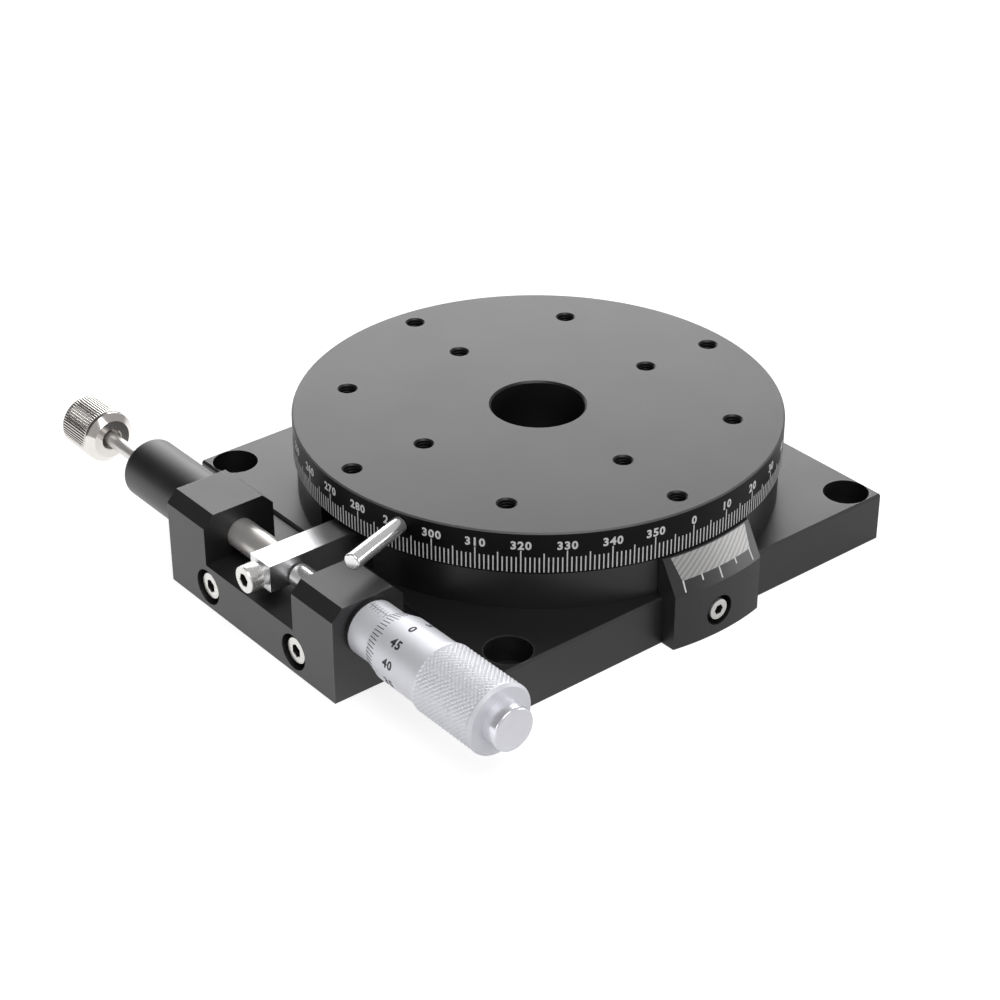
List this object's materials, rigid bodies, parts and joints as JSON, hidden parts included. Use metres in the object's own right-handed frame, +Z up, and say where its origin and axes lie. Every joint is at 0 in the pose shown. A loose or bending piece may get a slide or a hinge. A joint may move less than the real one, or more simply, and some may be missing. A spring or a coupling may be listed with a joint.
{
  "type": "manual rotation stage",
  "caption": "Manual rotation stage: graduated round table on a square base plate, turned freely or finely by a side micrometer against a spring plunger, with a vernier and a lock pin.",
  "frame": {"origin": "middle of the base plate's underside, on the rotation axis", "axes": "+Z up along the rotation axis, +X along the micrometer's spindle towards its thimble, the drive bracket on the -Y side and the vernier block on the +X side"},
  "size_m": [0.1788, 0.1537, 0.0345],
  "materials": {
    "black_anodised": "fine matt black anodising",
    "satin_chrome": "satin chrome",
    "polished_steel": "polished",
    "bare_aluminium": "clear, satin",
    "bearing_steel": "ground",
    "black_screws": "black oxide",
    "bright_screws": "bright zinc",
    "spring_steel": "drawn wire",
    "brass": "turned"
  },
  "bodies": {
    "root": {"base_plate": "black_anodised", "outer_race": "bearing_steel", "bearing_housing": "black_anodised", "housing_screws": "black_screws", "ring_washer": "brass", "drive_bracket": "black_anodised", "bracket_screws": "bright_screws", "bracket_dowels": "polished_steel", "micrometer_flange": "black_anodised", "micrometer_sleeve": "satin_chrome", "backlash_nut": "brass", "micrometer_set_screw": "black_screws", "plunger_tube": "black_anodised", "plunger_bush": "brass", "plunger_spring": "spring_steel", "vernier_block": "black_anodised", "vernier_screw": "bright_screws"},
    "ball_set": {"bearing_balls": "bearing_steel", "ball_cage": "brass"},
    "fine_stage": {"tangent_ring": "black_anodised", "tangent_arm": "bare_aluminium", "arm_fixing_screws": "black_screws", "arm_end_screw": "bright_screws", "arm_end_washer": "polished_steel"},
    "table": {"rotary_table": "black_anodised", "inner_race": "bearing_steel", "hub_nut": "brass", "brake_pad": "brass"},
    "lock": {"lock_pin": "polished_steel"},
    "spindle": {"spindle": "polished_steel"},
    "thimble": {"thimble": "satin_chrome", "thimble_cap": "polished_steel"},
    "plunger": {"plunger_rod": "polished_steel", "pull_rod": "polished_steel", "pull_knob": "satin_chrome"}
  },
  "joints": [
    {"name": "thimble_spin", "type": "hinge", "parent": "spindle", "child": "thimble", "pos_m": [0, -0.0785, 0.0174], "axis": [1, 0, 0], "range_deg": [-4680, 4680]},
    {"name": "spindle_feed", "type": "slide", "parent": "root", "child": "spindle", "axis": [1, 0, 0], "range_m": [-0.0065, 0.0065]},
    {"name": "plunger_slide", "type": "slide", "parent": "root", "child": "plunger", "axis": [1, 0, 0], "range_m": [-0.0065, 0.0065], "deforming": ["plunger_spring"]},
    {"name": "fine_rotation", "type": "hinge", "parent": "root", "child": "fine_stage", "pos_m": [0, 0, 0.0186], "axis": [0, 0, 1], "range_deg": [-4.74, 4.74]},
    {"name": "table_rotation", "type": "hinge", "parent": "fine_stage", "child": "table", "pos_m": [0, 0, 0.008], "axis": [0, 0, 1], "continuous": true},
    {"name": "lock_turn", "type": "hinge", "parent": "table", "child": "lock", "pos_m": [0.01973, -0.0593, 0.0311], "axis": [0.3156, -0.9489, 0], "range_deg": [0, 180]},
    {"name": "ball_orbit", "type": "hinge", "parent": "root", "child": "ball_set", "pos_m": [0, 0, 0.008], "axis": [0, 0, 1], "continuous": true}
  ],
  "couplings": [
    {"joint": "spindle_feed", "follows": "fine_rotation", "m_per_rad": 0.0785},
    {"joint": "plunger_slide", "follows": "fine_rotation", "m_per_rad": 0.0785},
    {"joint": "thimble_spin", "follows": "fine_rotation", "ratio": 986.46},
    {"joint": "ball_orbit", "follows": "table_rotation", "ratio": 0.46}
  ]
}
